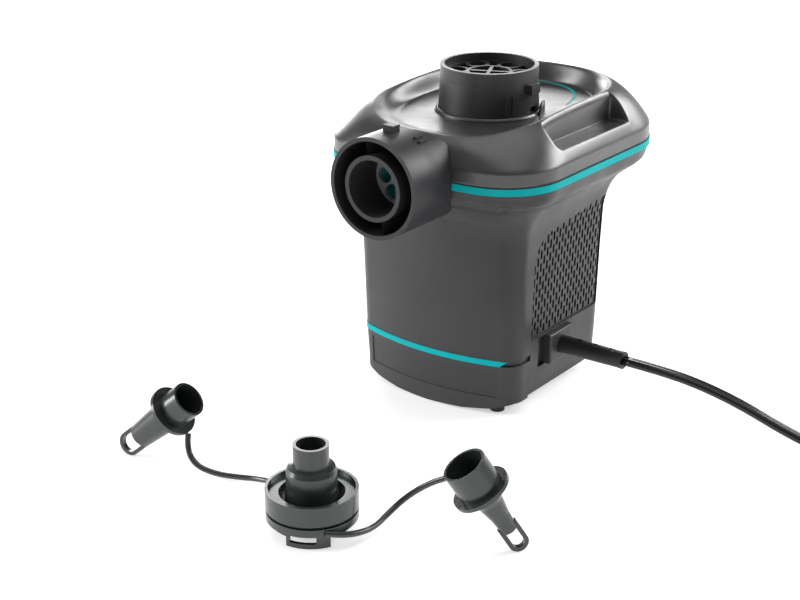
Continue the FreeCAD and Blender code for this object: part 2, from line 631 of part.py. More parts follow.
def make_stator():
    core = box(-30, 30, -23, 23, 45.0, 70.0).cut(cyl(14.6, 40, 75))
    pockets = [box(x - 5.5, x + 5.5, y - 5.0, y + 5.0, 40, 75) for x in (-17.5, 17.5) for y in (-14.5, 14.5)]
    corners = [box(x - 3, x + 3, y - 3, y + 3, 40, 75) for x in (-30, 30) for y in (-23, 23)]
    return cut_all(core, pockets + corners)


def make_field_coils():
    """One racetrack coil round each pole."""
    coils = []
    for side in (-1, 1):
        y0, y1 = sorted((side * 15.2, side * 18.8))
        outer = box(-22.0, 22.0, y0, y1, 36.5, 78.5)
        inner = box(-12.0, 12.0, y0 - 1, y1 + 1, 45.0, 70.0)
        coil = outer.cut(inner)
        uprights = [e for e in outer.Edges if abs(e.Vertexes[0].Point.y - e.Vertexes[-1].Point.y) > 1]
        rounded = outer.makeFillet(6.0, uprights)
        coils.append(coil.common(rounded))
    return coils


def make_lower_bracket():
    """Bridge under the stator: carries the lower bearing and the brush gear."""
    bar = box(-30, 30, -7, 7, 14.0, 23.0)
    legs = [box(x - 3, x + 3, -7, 7, 23.0, 45.0) for x in (-27, 27)]
    return fuse([bar] + legs).cut(cyl(6.0, 10, 30))


def make_upper_bracket():
    bar = box(-30, 30, -7, 7, 80.0, 90.0)
    legs = [box(x - 3, x + 3, -7, 7, 70.0, 80.0) for x in (-27, 27)]
    holes = [cyl(1.6, 75, 95, x, 0) for x in (-27, 27)]
    return cut_all(fuse([bar] + legs), [cyl(6.0, 75, 95)] + holes)


def make_bearings():
    return [ring(6.0, SHAFT_R + FIT, 14.0, 23.0), ring(6.0, SHAFT_R + FIT, 80.0, 90.0)]


def make_brush_gear():
    holders, brushes, springs = [], [], []
    for side in (-1, 1):
        x0, x1 = sorted((side * 9.0, side * 24.0))
        holder = box(x0, x1, -3.4, 3.4, 27.6, 34.4)
        a0, a1 = sorted((side * 8.0, side * 22.8))
        holders.append(holder.cut(box(a0, a1, -2.5, 2.5, 28.5, 33.5)))
        b0, b1 = sorted((side * 7.56, side * 15.0))
        brushes.append(box(b0, b1, -2.45, 2.45, 28.55, 33.45).cut(cyl(7.56, 20, 40)))
        coil = [cyl_x(2.0, x, x + 0.7, 0, 31.0) for x in (15.0, 16.7, 18.4, 20.1, 22.1)]
        core = cyl_x(0.8, 15.0, 22.8, 0, 31.0)
        spring = fuse([core] + coil)
        springs.append(spring if side > 0 else mirror_x(spring))
    return holders, brushes, springs


def make_grommets():
    return [ring(4.2, 1.6, 90.0, VOLUTE_FLOOR, x, 0) for x in (-27, 27)]


def make_motor_screws():
    """From inside the volute down through its floor, the grommet and the bracket."""
    screws = []
    for x in (-27, 27):
        head = cyl(2.8, VOLUTE_FLOOR + 1.8, VOLUTE_FLOOR + 3.3, x, 0)
        shank = cyl(1.55, 81.0, VOLUTE_FLOOR + 1.8, x, 0)
        screws.append(head.fuse(shank).removeSplitter())
    return screws


# ---------------------------------------------------------------- switch and supply
SWITCH_Z = 61.0
SWITCH_FACE = 39.4


def make_switch():
    """Rocker switch in the back wall: frame with a bezel, and the rocker on its pin."""
    bezel = box(-12.0, 12.0, 38.15, SWITCH_FACE, SWITCH_Z - 8.0, SWITCH_Z + 8.0)
    body = box(-10.5, 10.5, 29.6, 38.15, SWITCH_Z - 6.5, SWITCH_Z + 6.5)
    frame = bezel.fuse(body).removeSplitter()
    frame = frame.cut(box(-9.2, 9.2, 31.0, 50, SWITCH_Z - 5.6, SWITCH_Z + 5.6))
    frame = frame.cut(cyl_x(1.55, -10.0, 10.0, 36.5, SWITCH_Z))
    lugs = [box(x, x + 0.8, 26.6, 29.6, SWITCH_Z + z, SWITCH_Z + z + 5.0) for x, z in ((-4, -5.6), (3.2, 0.6))]
    return frame, lugs


def make_rocker():
    """Rocker pressed in at its lower end at rest; its faces meet at a shallow angle."""
    profile = [V(-9.0, 36.0, SWITCH_Z - 4.4), V(-9.0, 38.4, SWITCH_Z - 4.7), V(-9.0, 39.7, SWITCH_Z),
               V(-9.0, 41.4, SWITCH_Z + 4.2), V(-9.0, 36.4, SWITCH_Z + 3.5), V(-9.0, 34.0, SWITCH_Z)]
    body = prism(profile, V(18.0, 0, 0))
    pin = cyl_x(1.5, -9.9, 9.9, 36.5, SWITCH_Z)
    return body.fuse(pin).removeSplitter()


def make_cord_entry():
    """Plate that slides into the slot of the +X wall and holds the strain relief."""
    face = box(38.6, 43.4, INLET_Y - 9.4, INLET_Y + 8.6, 17.6, 31.0)
    face = face.makeFillet(0.8, [e for e in face.Edges if min(v.X for v in e.Vertexes) > 43])
    tongue = box(36.6, 38.6, INLET_Y - 12.0, INLET_Y + 11.0, 17.6, 30.8)
    plate_solid = face.fuse(tongue).removeSplitter()
    return plate_solid.cut(cyl_x(2.9, 30, 50, INLET_Y, INLET_Z))


COLLAR_X = 34.6          # inner face of the relief's collar, where the leads come out


def make_strain_relief():
    """Tapered sleeve with three notches along its top, a neck through the plate and a collar inside."""
    sleeve = Part.makeCone(4.0, 3.6, RELIEF_END_X - 43.4, V(43.4, INLET_Y, INLET_Z), V(1, 0, 0))
    neck = cyl_x(2.85, COLLAR_X, 44.0, INLET_Y, INLET_Z)
    collar = cyl_x(4.6, COLLAR_X, 36.6, INLET_Y, INLET_Z)
    notches = [box(x, x + 2.2, INLET_Y - 1.3, INLET_Y + 1.3, INLET_Z + 3.1, INLET_Z + 6) for x in (51.0, 59.0, 67.0)]
    rim = cyl_x(3.75, RELIEF_END_X - 1.6, RELIEF_END_X, INLET_Y, INLET_Z)
    return cut_all(fuse([sleeve, neck, collar, rim]), notches)


def make_terminal_block():
    body = box(14, 30, 14, 24, FOOT_H + 2.5, 15.0)
    screws = [cyl(1.8, 13.0, 16.0, x, 19.0) for x in (18.0, 26.0)]
    return cut_all(body, screws)


def make_capacitor():
    body = box(-28, -10, 13, 21, FOOT_H + 2.5, 20.0)
    edges = [e for e in body.Edges if abs(e.Vertexes[0].Z - e.Vertexes[-1].Z) > 5]
    return body.makeFillet(1.5, edges)


def make_leads():
    """Insulated leads inside: cord to terminal block, and terminal block to the switch."""
    routes = [
        [(COLLAR_X, -2.9, INLET_Z), (32.6, -2.4, 24.9), (32.0, 7.5, 25.6), (27.0, 13.0, 25.2), (19.2, 17.2, 21.0),
         (18.0, 18.0, 15.0)],
        [(COLLAR_X, -5.1, INLET_Z), (33.0, -4.6, 22.6), (33.2, 7.5, 21.8), (30.5, 15.5, 22.5), (26.6, 19.2, 20.0),
         (26.0, 19.5, 15.0)],
        [(20.5, 24.0, 11.0), (19.5, 29.0, 15.0), (14.0, 31.0, 26.0), (6.0, 29.0, 38.0), (3.6, 27.8, 50.0),
         (3.6, 27.6, 61.6)],
    ]
    return [tube(route, 0.8) for route in routes]


# ---------------------------------------------------------------- power cord and plug
CORD_ROUTE = [(RELIEF_END_X, INLET_Y, INLET_Z), (91.0, INLET_Y - 0.1, 24.3), (109.0, -4.0, 23.0),
              (128.0, -3.0, 18.6), (146.0, 0.2, 10.8), (163.5, 4.6, 4.4), (180.5, 8.4, 2.8)]
COIL_X, COIL_Y = 184.0, 48.0
COIL_OUTER, COIL_INNER, COIL_HIGH = 40.6, 24.2, 22.0


def make_coil():
    """The put-away turns as one closed ring."""
    c = 2.6
    shape = turned([(COIL_INNER + c, 0), (COIL_OUTER - c, 0), (COIL_OUTER, c), (COIL_OUTER, COIL_HIGH - c),
                    (COIL_OUTER - c, COIL_HIGH), (COIL_INNER + c, COIL_HIGH), (COIL_INNER, COIL_HIGH - c),
                    (COIL_INNER, c)])
    shape.translate(V(COIL_X, COIL_Y, 0))
    return shape


PLUG_X, PLUG_Y = 231.0, 68.0


def make_plug():
    """Generic two-blade plug lying flat beside the coil, its blades towards +Y."""
    body = box(PLUG_X - 9, PLUG_X + 9, PLUG_Y, PLUG_Y + 26, 0, 15)
    edges = [e for e in body.Edges if abs(e.Vertexes[0].X - e.Vertexes[-1].X) < 1]
    body = body.makeFillet(3.0, edges)
    sleeve = Part.makeCone(3.4, 5.0, 14.0, V(PLUG_X, PLUG_Y - 13.5, 7.5), V(0, 1, 0))
    blades = [box(PLUG_X + x - 0.75, PLUG_X + x + 0.75, PLUG_Y + 26, PLUG_Y + 42, 4.3, 10.7) for x in (-6.35, 6.35)]
    return body.fuse(sleeve).removeSplitter(), blades


# ---------------------------------------------------------------- nozzle set
CUP_X, CUP_Y = 31.0, -159.5
TONGUE_TURN = -57.0
LEFT_FOOT = (-69.7, -158.1, 1.9)
LEFT_AXIS = (0.736, 0.155, 0.659)
RIGHT_FOOT = (102.3, -126.2, 0.8)
RIGHT_AXIS = (-0.367, -0.386, 0.847)
FACING = (0.5, -0.75, 0.4)
LEFT_LENGTH = 43.2
RIGHT_LENGTH = 42.3


def make_adapter():
    """Bayonet adapter: skirt that goes over the inflate port's inner tube, cup, and a stepped neck."""
    skirt_r, cup_r = 15.6, 17.4
    body = turned([
        (14.1, 0.0), (skirt_r, 0.0), (skirt_r, 9.0), (cup_r - 0.6, 9.0), (cup_r, 9.8), (cup_r, 17.5), (16.3, 17.5),
        (16.1, 15.6), (12.4, 15.6), (12.2, 10.6), (10.2, 10.6), (9.6, 18.0), (9.5, 24.4), (8.8, 26.0), (6.7, 26.6),
        (6.7, 35.0), (5.5, 35.0), (5.5, 25.6), (8.0, 24.0), (8.2, 9.2), (14.1, 9.2)])
    high = cyl(20, -1, 3.8)
    for side in (0, 180):
        wedge = prism([V(0, 0, -2), V(30, -18.5, -2), V(30, 18.5, -2)], V(0, 0, 10))
        high = high.cut(turn(wedge, TONGUE_TURN + side))
    windows = [turn(box(12, 20, -5.0, 5.0, 1.9, 5.2), a) for a in (TONGUE_TURN - 7, TONGUE_TURN + 173)]
    body = cut_all(body, [high] + windows)
    body.translate(V(CUP_X, CUP_Y, 0))
    return body


def make_tether_ring():
    return ring(17.3, 15.65, 5.6, 8.6, CUP_X, CUP_Y)


def loop_strip(half_width, gap_half, length, gap_length, thick, start):
    """Flat U-shaped strip in the XZ plane: outer slot shape minus the gap."""
    def slot_shape(half, z_low, z_high, t):
        flat = box(-half, half, -t / 2, t / 2, z_low + half, z_high)
        end = cyl_y(half, -t / 2, t / 2, 0, z_low + half)
        return flat.fuse(end)
    outer = slot_shape(half_width, 0.0, length, thick)
    inner = slot_shape(gap_half, start, start + gap_length, thick + 2)
    return outer.cut(inner)


def make_left_nozzle():
    """Short wide nozzle: mouth, flange, cone, and a bail across its tip."""
    tip, flange = 12.0, 32.0
    cone = turned([(4.0, tip), (5.2, tip), (6.6, flange), (10.4, flange), (10.4, flange + 1.6), (7.2, flange + 1.6),
                   (7.2, LEFT_LENGTH), (6.2, LEFT_LENGTH), (6.0, flange), (4.6, tip + 4)])
    bail = loop_strip(5.0, 3.4, tip + 1.5, tip + 8, 2.2, 1.6).cut(cyl(4.2, tip - 0.1, tip + 20))
    shape = fuse([cone, bail])
    return stand(shape, LEFT_FOOT, LEFT_AXIS, FACING)


def make_right_nozzle():
    """Long flared nozzle: mouth, flange, cone that narrows to an eyelet."""
    flange = 29.4
    cone = turned([(2.0, 10.0), (3.2, 10.0), (3.7, 17.0), (5.0, 24.0), (7.6, flange), (11.0, flange),
                   (11.0, flange + 1.5), (8.3, flange + 1.5), (8.3, RIGHT_LENGTH), (7.3, RIGHT_LENGTH),
                   (6.6, flange), (3.8, 24.0), (2.6, 17.0)])
    eyelet = loop_strip(3.9, 2.2, 12.0, 8.2, 2.4, 1.6).cut(cyl(2.1, 10.1, 20))
    shape = fuse([cone, eyelet])
    return stand(shape, RIGHT_FOOT, RIGHT_AXIS, FACING)


LEFT_TETHER = [(-39.0, -151.6, 15.2), (-38.6, -153.4, 9.8), (-33.5, -154.6, 4.2), (-25.5, -152.3, 1.9),
               (-17.0, -148.8, 1.6), (-8.0, -146.4, 2.6), (1.5, -147.6, 4.8), (8.6, -151.0, 6.4), (14.6, -154.6, 7.0)]
RIGHT_TETHER = [(45.2, -169.4, 7.0), (49.2, -165.2, 5.8), (51.8, -158.0, 4.2), (52.4, -149.6, 3.2),
                (52.0, -141.2, 4.6), (54.2, -134.0, 8.6), (59.6, -129.6, 13.6), (67.0, -127.6, 18.4),
                (75.2, -128.4, 22.6), (82.6, -130.0, 25.8)]


# ---------------------------------------------------------------- build
def build():
    save("housing", make_housing())
    save("base_cap", make_base_cap())
    save("base_strip", make_base_strip())
    save("base_plate", make_base_plate())
    save("corner_feet", *[foot(x, y) for x, y in FOOT_PLACES])
    save("centre_pad", foot(0.0, 0.0, 6.0))
    save("top_cover", make_cover())
    save("trim_band", make_trim_band())
    grille = make_side_grille()
    save("grille_right", grille)
    save("grille_left", mirror_x(grille))
    save("cover_screws", *[screw(x, y, 97.1, 12.0) for x, y in SCREW_PLACES])
    save("deflate_port", make_deflate_port())
    save("deflate_guard", make_deflate_guard())
    save("inflate_port", make_inflate_port())
    save("outlet_guard", make_outlet_guard())
    save("volute_lower", make_volute_lower())
    save("volute_upper", make_volute_upper())
    save("impeller", make_impeller())
    save("impeller_nut", make_impeller_nut())
    save("motor_shaft", make_shaft())
    save("armature_core", make_armature())
    save("armature_winding", *make_armature_winding())
    save("commutator", make_commutator())
    save("stator_core", make_stator())
    save("field_coils", *make_field_coils())
    save("lower_bracket", make_lower_bracket())
    save("upper_bracket", make_upper_bracket())
    save("bearings", *make_bearings())
    holders, brushes, springs = make_brush_gear()
    save("brush_holders", *holders)
    save("carbon_brushes", *brushes)
    save("brush_springs", *springs)
    save("motor_grommets", *make_grommets())
    save("motor_screws", *make_motor_screws())
    frame, lugs = make_switch()
    save("switch_frame", frame)
    save("switch_terminals", *lugs)
    save("switch_rocker", make_rocker())
    save("cord_entry", make_cord_entry())
    save("strain_relief", make_strain_relief())
    save("terminal_block", make_terminal_block())
    save("capacitor", make_capacitor())
    save("internal_leads", *make_leads())
    save("power_cord", tube(CORD_ROUTE, CORD_R))
    save("cord_coil", make_coil())
    plug, blades = make_plug()
    save("plug_body", plug)
    save("plug_blades", *blades)
    save("nozzle_adapter", make_adapter())
    save("tether_ring", make_tether_ring())
    save("wide_nozzle", make_left_nozzle())
    save("narrow_nozzle", make_right_nozzle())
    save("left_tether", tube(LEFT_TETHER, TETHER_R))
    save("right_tether", tube(RIGHT_TETHER, TETHER_R))


build()
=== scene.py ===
"""Electric air mattress pump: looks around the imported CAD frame.

The camera and the studio are laid out in metres. Places on the cover and along the cords are in
millimetres, and MM turns them into metres.
"""
import json
import math

import bmesh
import bpy
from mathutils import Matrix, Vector


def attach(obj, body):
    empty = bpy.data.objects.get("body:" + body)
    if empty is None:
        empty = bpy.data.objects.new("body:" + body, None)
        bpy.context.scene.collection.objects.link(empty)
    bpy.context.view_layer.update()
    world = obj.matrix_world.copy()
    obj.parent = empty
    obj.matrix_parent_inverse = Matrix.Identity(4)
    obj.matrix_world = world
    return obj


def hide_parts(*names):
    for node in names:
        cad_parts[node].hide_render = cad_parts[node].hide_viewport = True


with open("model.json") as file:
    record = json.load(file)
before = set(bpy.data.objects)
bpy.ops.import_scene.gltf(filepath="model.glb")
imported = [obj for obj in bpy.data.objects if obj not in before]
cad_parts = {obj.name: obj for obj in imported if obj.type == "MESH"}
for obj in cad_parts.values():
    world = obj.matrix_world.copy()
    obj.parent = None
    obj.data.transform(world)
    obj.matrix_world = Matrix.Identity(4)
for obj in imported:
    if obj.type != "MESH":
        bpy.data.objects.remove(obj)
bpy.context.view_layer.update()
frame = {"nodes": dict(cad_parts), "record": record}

NODES = frame["nodes"]
MM = 0.001
UP = Vector((0, 0, 1))


# ---------------------------------------------------------------- camera
CAMERA_PLACE = (0.36876, -0.55832, 0.29879)
# degrees below level, and degrees turned from +Y towards -X
CAMERA_DOWN = 21.7
CAMERA_TURN = 36.7


def add_camera():
    """Stands in front of the pump's right-hand corner, a little above it."""
    camera = bpy.data.cameras.new("camera")
    camera.lens = 72.0
    camera.sensor_width = 36.0
    camera.clip_start = 0.05
    camera.clip_end = 200.0
    view = bpy.data.objects.new("camera", camera)
    view.location = CAMERA_PLACE
    view.rotation_euler = (math.radians(90.0 - CAMERA_DOWN), 0.0, math.radians(CAMERA_TURN))
    bpy.context.scene.collection.objects.link(view)
    bpy.context.scene.camera = view


# ---------------------------------------------------------------- materials
# sockets of a Mix node that mixes colours
MIX_FACTOR, MIX_FIRST, MIX_SECOND, MIX_RESULT = 0, 6, 7, 2
# mesh pointiness at which the painted highlight on an edge starts, and at which it is full
EDGE_STARTS, EDGE_FULL = 0.505, 0.56
# how much paler than the plastic the painted edge highlight is
EDGE_HIGHLIGHT_TINT = 2.2
# the larger a scale, the finer its pattern; depths of relief are in metres
CLOUD_SCALE = 24.0
SMEAR_SCALE = 90.0
GRAIN_DEPTH = 0.00005
LINE_SCALE = 300.0
LINE_DEPTH = 0.00003
WIRE_SCALE = 420.0
WIRE_DEPTH = 0.0002


def new_material(name):
    """New material, with its node tree and its shader."""
    material = bpy.data.materials.new(name)
    material.use_nodes = True
    tree = material.node_tree
    return material, tree, tree.nodes["Principled BSDF"]


def noise(tree, scale, detail=3.0, roughness=0.55, stretch=None):
    """Noise in the object's own metres; a large stretch value packs it closely along that axis."""
    place = tree.nodes.new("ShaderNodeTexCoord")
    texture = tree.nodes.new("ShaderNodeTexNoise")
    texture.inputs["Scale"].default_value = scale
    texture.inputs["Detail"].default_value = detail
    texture.inputs["Roughness"].default_value = roughness
    source = place.outputs["Object"]
    if stretch:
        mapping = tree.nodes.new("ShaderNodeMapping")
        mapping.inputs["Scale"].default_value = stretch
        tree.links.new(source, mapping.inputs["Vector"])
        source = mapping.outputs["Vector"]
    tree.links.new(source, texture.inputs["Vector"])
    return texture.outputs["Fac"]


def ramp(tree, value, stops):
    """Colour picked by a value, from stops of position and colour."""
    node = tree.nodes.new("ShaderNodeValToRGB")
    elements = node.color_ramp.elements
    while len(elements) < len(stops):
        elements.new(0.5)
    for element, (position, colour) in zip(elements, stops):
        element.position = position
        element.color = (*colour, 1.0)
    tree.links.new(value, node.inputs["Fac"])
    return node.outputs["Color"]


def to_range(tree, value, low, high, source_low=0.3, source_high=0.7):
    """Value spread from its source range to low and high, and held there beyond it."""
    node = tree.nodes.new("ShaderNodeMapRange")
    node.inputs["From Min"].default_value = source_low
    node.inputs["From Max"].default_value = source_high
    node.inputs["To Min"].default_value = low
    node.inputs["To Max"].default_value = high
    tree.links.new(value, node.inputs["Value"])
    return node.outputs["Result"]


def bump(tree, shader, height, depth, strength):
    """Relief on the shader's normal; depth is in metres."""
    node = tree.nodes.new("ShaderNodeBump")
    node.inputs["Distance"].default_value = depth
    node.inputs["Strength"].default_value = strength
    tree.links.new(height, node.inputs["Height"])
    tree.links.new(node.outputs["Normal"], shader.inputs["Normal"])


def shade(colour, factor):
    """The colour made darker or paler by a factor."""
    return tuple(min(1.0, c * factor) for c in colour)


def moulded(name, colour, roughness, grain=1500.0, grain_strength=0.25, vary=0.12, edge_highlight=0.0, shine=0.4):
    """Moulded plastic: fine grain, uneven gloss, faint flow clouds; its sharp edges can get a paler
    painted highlight.
    """
    material, tree, shader = new_material(name)
    clouds = noise(tree, CLOUD_SCALE, 4.0)
    tint = ramp(tree, clouds, [(0.3, shade(colour, 1.0 - vary)), (0.7, shade(colour, 1.0 + vary))])
    # painted highlight: sharp convex edges, found by the mesh's pointiness, made paler
    if edge_highlight:
        geometry = tree.nodes.new("ShaderNodeNewGeometry")
        edge = to_range(tree, geometry.outputs["Pointiness"], 0.0, edge_highlight, EDGE_STARTS, EDGE_FULL)
        edge_lit = tree.nodes.new("ShaderNodeMix")
        edge_lit.data_type = "RGBA"
        edge_lit.inputs[MIX_SECOND].default_value = (*shade(colour, EDGE_HIGHLIGHT_TINT), 1.0)
        tree.links.new(edge, edge_lit.inputs[MIX_FACTOR])
        tree.links.new(tint, edge_lit.inputs[MIX_FIRST])
        tint = edge_lit.outputs[MIX_RESULT]
    tree.links.new(tint, shader.inputs["Base Color"])
    smears = noise(tree, SMEAR_SCALE)
    tree.links.new(to_range(tree, smears, roughness - 0.05, roughness + 0.06), shader.inputs["Roughness"])
    shader.inputs["Specular IOR Level"].default_value = shine
    bump(tree, shader, noise(tree, grain, 2.0), GRAIN_DEPTH, grain_strength)
    return material


def metal(name, colour, roughness, stretch=(1.0, 1.0, 12.0)):
    """Bare metal with fine lines along one direction."""
    material, tree, shader = new_material(name)
    lines = noise(tree, LINE_SCALE, 4.0, stretch=stretch)
    tint = ramp(tree, lines, [(0.3, shade(colour, 0.85)), (0.7, shade(colour, 1.1))])
    tree.links.new(tint, shader.inputs["Base Color"])
    tree.links.new(to_range(tree, lines, roughness - 0.08, roughness + 0.1), shader.inputs["Roughness"])
    shader.inputs["Metallic"].default_value = 1.0
    bump(tree, shader, lines, LINE_DEPTH, 0.3)
    return material


def windings(name, colour):
    """Enamelled wire: close parallel turns."""
    material, tree, shader = new_material(name)
    place = tree.nodes.new("ShaderNodeTexCoord")
    wave = tree.nodes.new("ShaderNodeTexWave")
    wave.bands_direction = "Z"
    wave.inputs["Scale"].default_value = WIRE_SCALE
    wave.inputs["Distortion"].default_value = 2.0
    tree.links.new(place.outputs["Object"], wave.inputs["Vector"])
    tint = ramp(tree, wave.outputs["Fac"], [(0.0, shade(colour, 0.55)), (1.0, colour)])
    tree.links.new(tint, shader.inputs["Base Color"])
    shader.inputs["Metallic"].default_value = 0.7
    shader.inputs["Roughness"].default_value = 0.3
    bump(tree, shader, wave.outputs["Fac"], WIRE_DEPTH, 0.8)
    return material


# housing, base, grilles and deflate port
# each plastic below gives the strength of the painted highlight on its sharp edges, where it has one
CHARCOAL = dict(colour=(0.030, 0.029, 0.031), roughness=0.42, edge_highlight=0.15)
COVER = dict(colour=(0.026, 0.025, 0.027), roughness=0.36, edge_highlight=0.3, shine=0.95)
# inflate port and the guard of the deflate port: the plastic made darker as painted shade, with a strong
# painted edge highlight
PORT = dict(colour=(0.019, 0.018, 0.020), roughness=0.40, edge_highlight=0.6, shine=0.25)
# trim band, base strip and the line printed in the dish
TRIM = dict(colour=(0.001, 0.40, 0.42), roughness=0.55, grain=2200.0, grain_strength=0.1, vary=0.06,
            shine=0.12)
NOZZLE = dict(colour=(0.026, 0.031, 0.030), roughness=0.24, grain=900.0, grain_strength=0.08, shine=0.7)
OUTLET_GUARD = dict(colour=(0.34, 0.36, 0.36), roughness=0.45)
# impeller, and the sleeve that shows its colour in the inflate port
IMPELLER = dict(colour=(0.0, 0.25, 0.27), roughness=0.4)
RUBBER = dict(colour=(0.014, 0.014, 0.015), roughness=0.5, grain=1100.0, grain_strength=0.35)
SHEATH = dict(colour=(0.010, 0.010, 0.011), roughness=0.22, grain=1300.0, grain_strength=0.12)
# blower scroll, motor brackets, rear switch and internal leads
INNER_BLACK = dict(colour=(0.016, 0.016, 0.018), roughness=0.35)


def make_materials():
    """One material for each slot in the record, and a darker plastic with painted shade for the ports
    besides.
    """
    return {
        "charcoal_plastic": moulded("charcoal_plastic", **CHARCOAL),
        "cover_plastic": moulded("cover_plastic", **COVER),
        "port_painted_shade": moulded("port_painted_shade", **PORT),
        "teal_trim": moulded("teal_trim", **TRIM),
        "nozzle_plastic": moulded("nozzle_plastic", **NOZZLE),
        "pale_guard": moulded("pale_guard", **OUTLET_GUARD),
        "teal_impeller": moulded("teal_impeller", **IMPELLER),
        "black_rubber": moulded("black_rubber", **RUBBER),
        "cord_sheath": moulded("cord_sheath", **SHEATH),
        "black_plastic": moulded("black_plastic", **INNER_BLACK),
        "steel": metal("steel", (0.62, 0.62, 0.63), 0.3),
        "motor_steel": metal("motor_steel", (0.42, 0.42, 0.43), 0.45, stretch=(0.2, 0.2, 30.0)),
        "copper": windings("copper", (0.72, 0.32, 0.15)),
        "brass": metal("brass", (0.76, 0.58, 0.28), 0.3),
        "carbon": moulded("carbon", (0.03, 0.03, 0.033), 0.6),
        "white_plastic": moulded("white_plastic", (0.75, 0.75, 0.72), 0.4),
        "capacitor_film": moulded("capacitor_film", (0.7, 0.5, 0.08), 0.3),
    }


# ---------------------------------------------------------------- CAD nodes
# the inflate port and the deflate guard take a darker plastic: painted shade
SHADED_PORT_NODES = {"inflate_port": "port_painted_shade", "deflate_guard": "port_painted_shade"}
EDGE_WIDTH = 0.25 * MM
EDGE_WIDTHS = {
    "housing": 0.5 * MM,
    "base_cap": 0.6 * MM,
    "top_cover": 0.8 * MM,
    "trim_band": 0.3 * MM,
    "deflate_port": 0.45 * MM,
}


def soften(obj, width, segments=2, angle=35.0):
    """Rounds those edges of a CAD node that turn by more than the angle."""
    bevel = obj.modifiers.new("edges", "BEVEL")
    bevel.width = width
    bevel.segments = segments
    bevel.limit_method = "ANGLE"
    bevel.angle_limit = math.radians(angle)
    bevel.miter_outer = "MITER_ARC"
    bevel.use_clamp_overlap = True
    bevel.harden_normals = True


def dress_nodes(materials):
    """Gives every CAD node softened edges, and its slot's material or, for two port parts, a darker
    plastic with painted shade.
    """
    slots = {entry["node"]: entry["material_slot"] for entry in frame["record"]["subparts"]}
    for name, obj in NODES.items():
        obj.data.materials.clear()
        obj.data.materials.append(materials[SHADED_PORT_NODES.get(name, slots[name])])
        for polygon in obj.data.polygons:
            polygon.use_smooth = True
        soften(obj, EDGE_WIDTHS.get(name, EDGE_WIDTH))


# ---------------------------------------------------------------- top cover
COVER_WALL = 1.6
# heights: the cover's upright lower wall, the shoulder above it, and the dish floor
WALL_HEIGHTS = (106.2, 108.5, 111.0, 112.2)
SHOULDER_Z = 112.5
FLOOR_Z = 121.3
# the lip round the hole for the deflate port: how far inside its foot, and how high above the dish floor
LIP_R = 23.0
LIP_HIGH = 1.3
LIP_SECTION = ((0.0, 0.0), (0.2, 0.6), (0.8, LIP_HIGH))
HOLE_R = 21.66
HOLE_DEPTH = 2.0
# the inflate port's axis and the gap that its tube needs in the cover's lower wall
PORT_Z = 106.1
TUBE_GAP_R = 14.5
TUBE_GAP_Y = -50.0
# finger pockets: their ends in y, the height of the floor and the x of the upright wall
POCKET_FRONT, POCKET_BACK = -23.5, 30.5
POCKET_FLOOR, POCKET_WALL = 117.2, 41.9
# where the slope breaks off below the pocket floor, and the rounding of the floor's outer and inner edge
BRIM_BELOW, BRIM_ROUND = 0.1, 0.7
FOOT_ACROSS, FOOT_UP = 0.4, 0.6
# columns with a shoulder further out than this can cross a pocket
POCKET_REACH = 45.0
# y places near each end of a pocket, counted from the end towards its middle
POCKET_CLOSE = (-1.0, -0.7, -0.45, -0.2, 0.05, 0.3, 0.6, 1.0)
POCKET_BETWEEN = 24
# how far the pocket fades out around its front end, and outside and inside its back end
FADE_FRONT = 2.0
FADE_BACK_OUT, FADE_BACK_IN = 0.8, 0.5
# the pocket wall's rounded top: how far inwards, and how far below the crest
WALL_TOP = ((0.0, 3.6), (0.35, 1.9), (0.9, 0.7))
# y and height along the crest: low in front of the deflate port, high beside and behind it
CREST_HEIGHTS = [
    (-60.0, 121.8),
    (-49.0, 122.3),
    (-42.0, 124.0),
    (-34.0, 126.0),
    (-22.0, 127.6),
    (-8.0, 128.6),
    (12.0, 129.2),
    (80.0, 129.4),
]
# half width, front, back, front corner radius, back corner radius, front bow, back bow
SIDE_RING = (54.0, -57.9, 70.8, 27.0, 34.0, 6.0, 2.0)
CREST_RING = (40.4, -48.4, 60.6, 30.0, 37.0, 4.5, 3.0)
# columns along the bowed end and round the corner, at the front and at the back
FRONT_STEPS = (30, 30)
BACK_STEPS = (22, 34)
# the dish floor's oval edge: the y of its middle, half its width and half its length
DISH_CENTRE, DISH_HALF, DISH_LONG = 7.0, 36.3, 50.0
# parts of the way from the shoulder to the crest, and how much the slope bulges between them
SLOPE_STEPS = (0.04, 0.13, 0.25, 0.4, 0.55, 0.7, 0.83, 0.93)
SLOPE_BULGE = 0.72
# parts of the way from the crest to the dish floor, across and down: rounded at both ends
DISH_WALL = [
    (0.0, 0.0),
    (0.14, 0.015),
    (0.32, 0.12),
    (0.5, 0.37),
    (0.68, 0.70),
    (0.84, 0.92),
    (0.94, 0.99),
    (1.0, 1.0),
]
# parts of the way from the dish floor's edge to the lip
DISH_STEPS = (0.1, 0.5, 0.96)


def along_table(table, x):
    """Height at x of a smooth curve through a short table."""
    for i, (low, high) in enumerate(zip(table, table[1:])):
        if x <= high[0] or i == len(table) - 2:
            t = max(0.0, min(1.0, (x - low[0]) / (high[0] - low[0])))
            before = table[max(i - 1, 0)]
            after = table[min(i + 2, len(table) - 1)]
            width = high[0] - low[0]
            start = (high[1] - before[1]) / (high[0] - before[0]) * width
            end = (after[1] - low[1]) / (after[0] - low[0]) * width
            rise = high[1] - low[1]
            return low[1] + t * (start + t * (3 * rise - 2 * start - end + t * (start + end - 2 * rise)))


def mix(a, b, t):
    """The point a part t of the way from a to b."""
    return tuple(x + t * (y - x) for x, y in zip(a, b))


